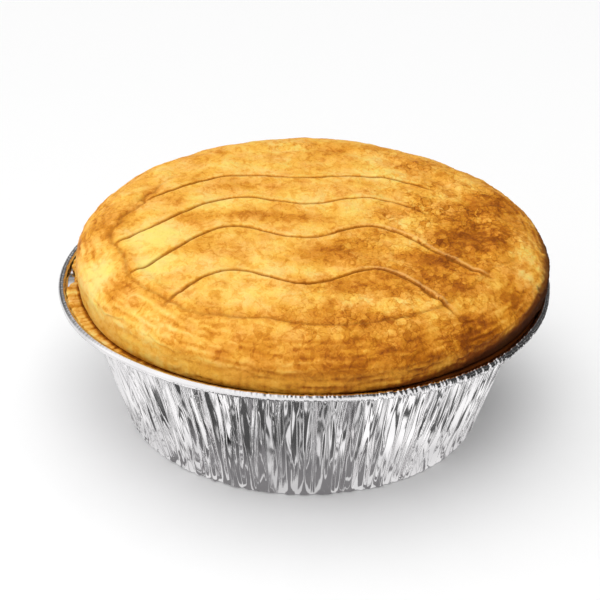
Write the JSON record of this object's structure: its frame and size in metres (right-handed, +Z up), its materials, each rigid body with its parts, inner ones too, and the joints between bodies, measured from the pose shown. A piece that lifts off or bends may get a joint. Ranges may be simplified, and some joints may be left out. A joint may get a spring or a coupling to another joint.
{
  "type": "steak and kidney pie",
  "caption": "Individual round pie with a domed golden puff pastry lid scored with waves, baked in a pleated foil dish with a rolled rim.",
  "frame": {"origin": "middle of the foil dish's underside, on the surface it stands on", "axes": "+Z up out of the dish; the scored waves run along X, and the lid's back, its highest side, is towards +Y"},
  "size_m": [0.124, 0.124, 0.0544],
  "materials": {
    "foil": "bright crinkled foil",
    "crust": "baked shortcrust, matt, with a little fat",
    "golden_lid": "glazed golden puff pastry, satin, flaky"
  },
  "bodies": {
    "root": {"foil_dish": "foil", "pastry_base": "crust", "pastry_lid": "golden_lid"}
  },
  "joints": []
}
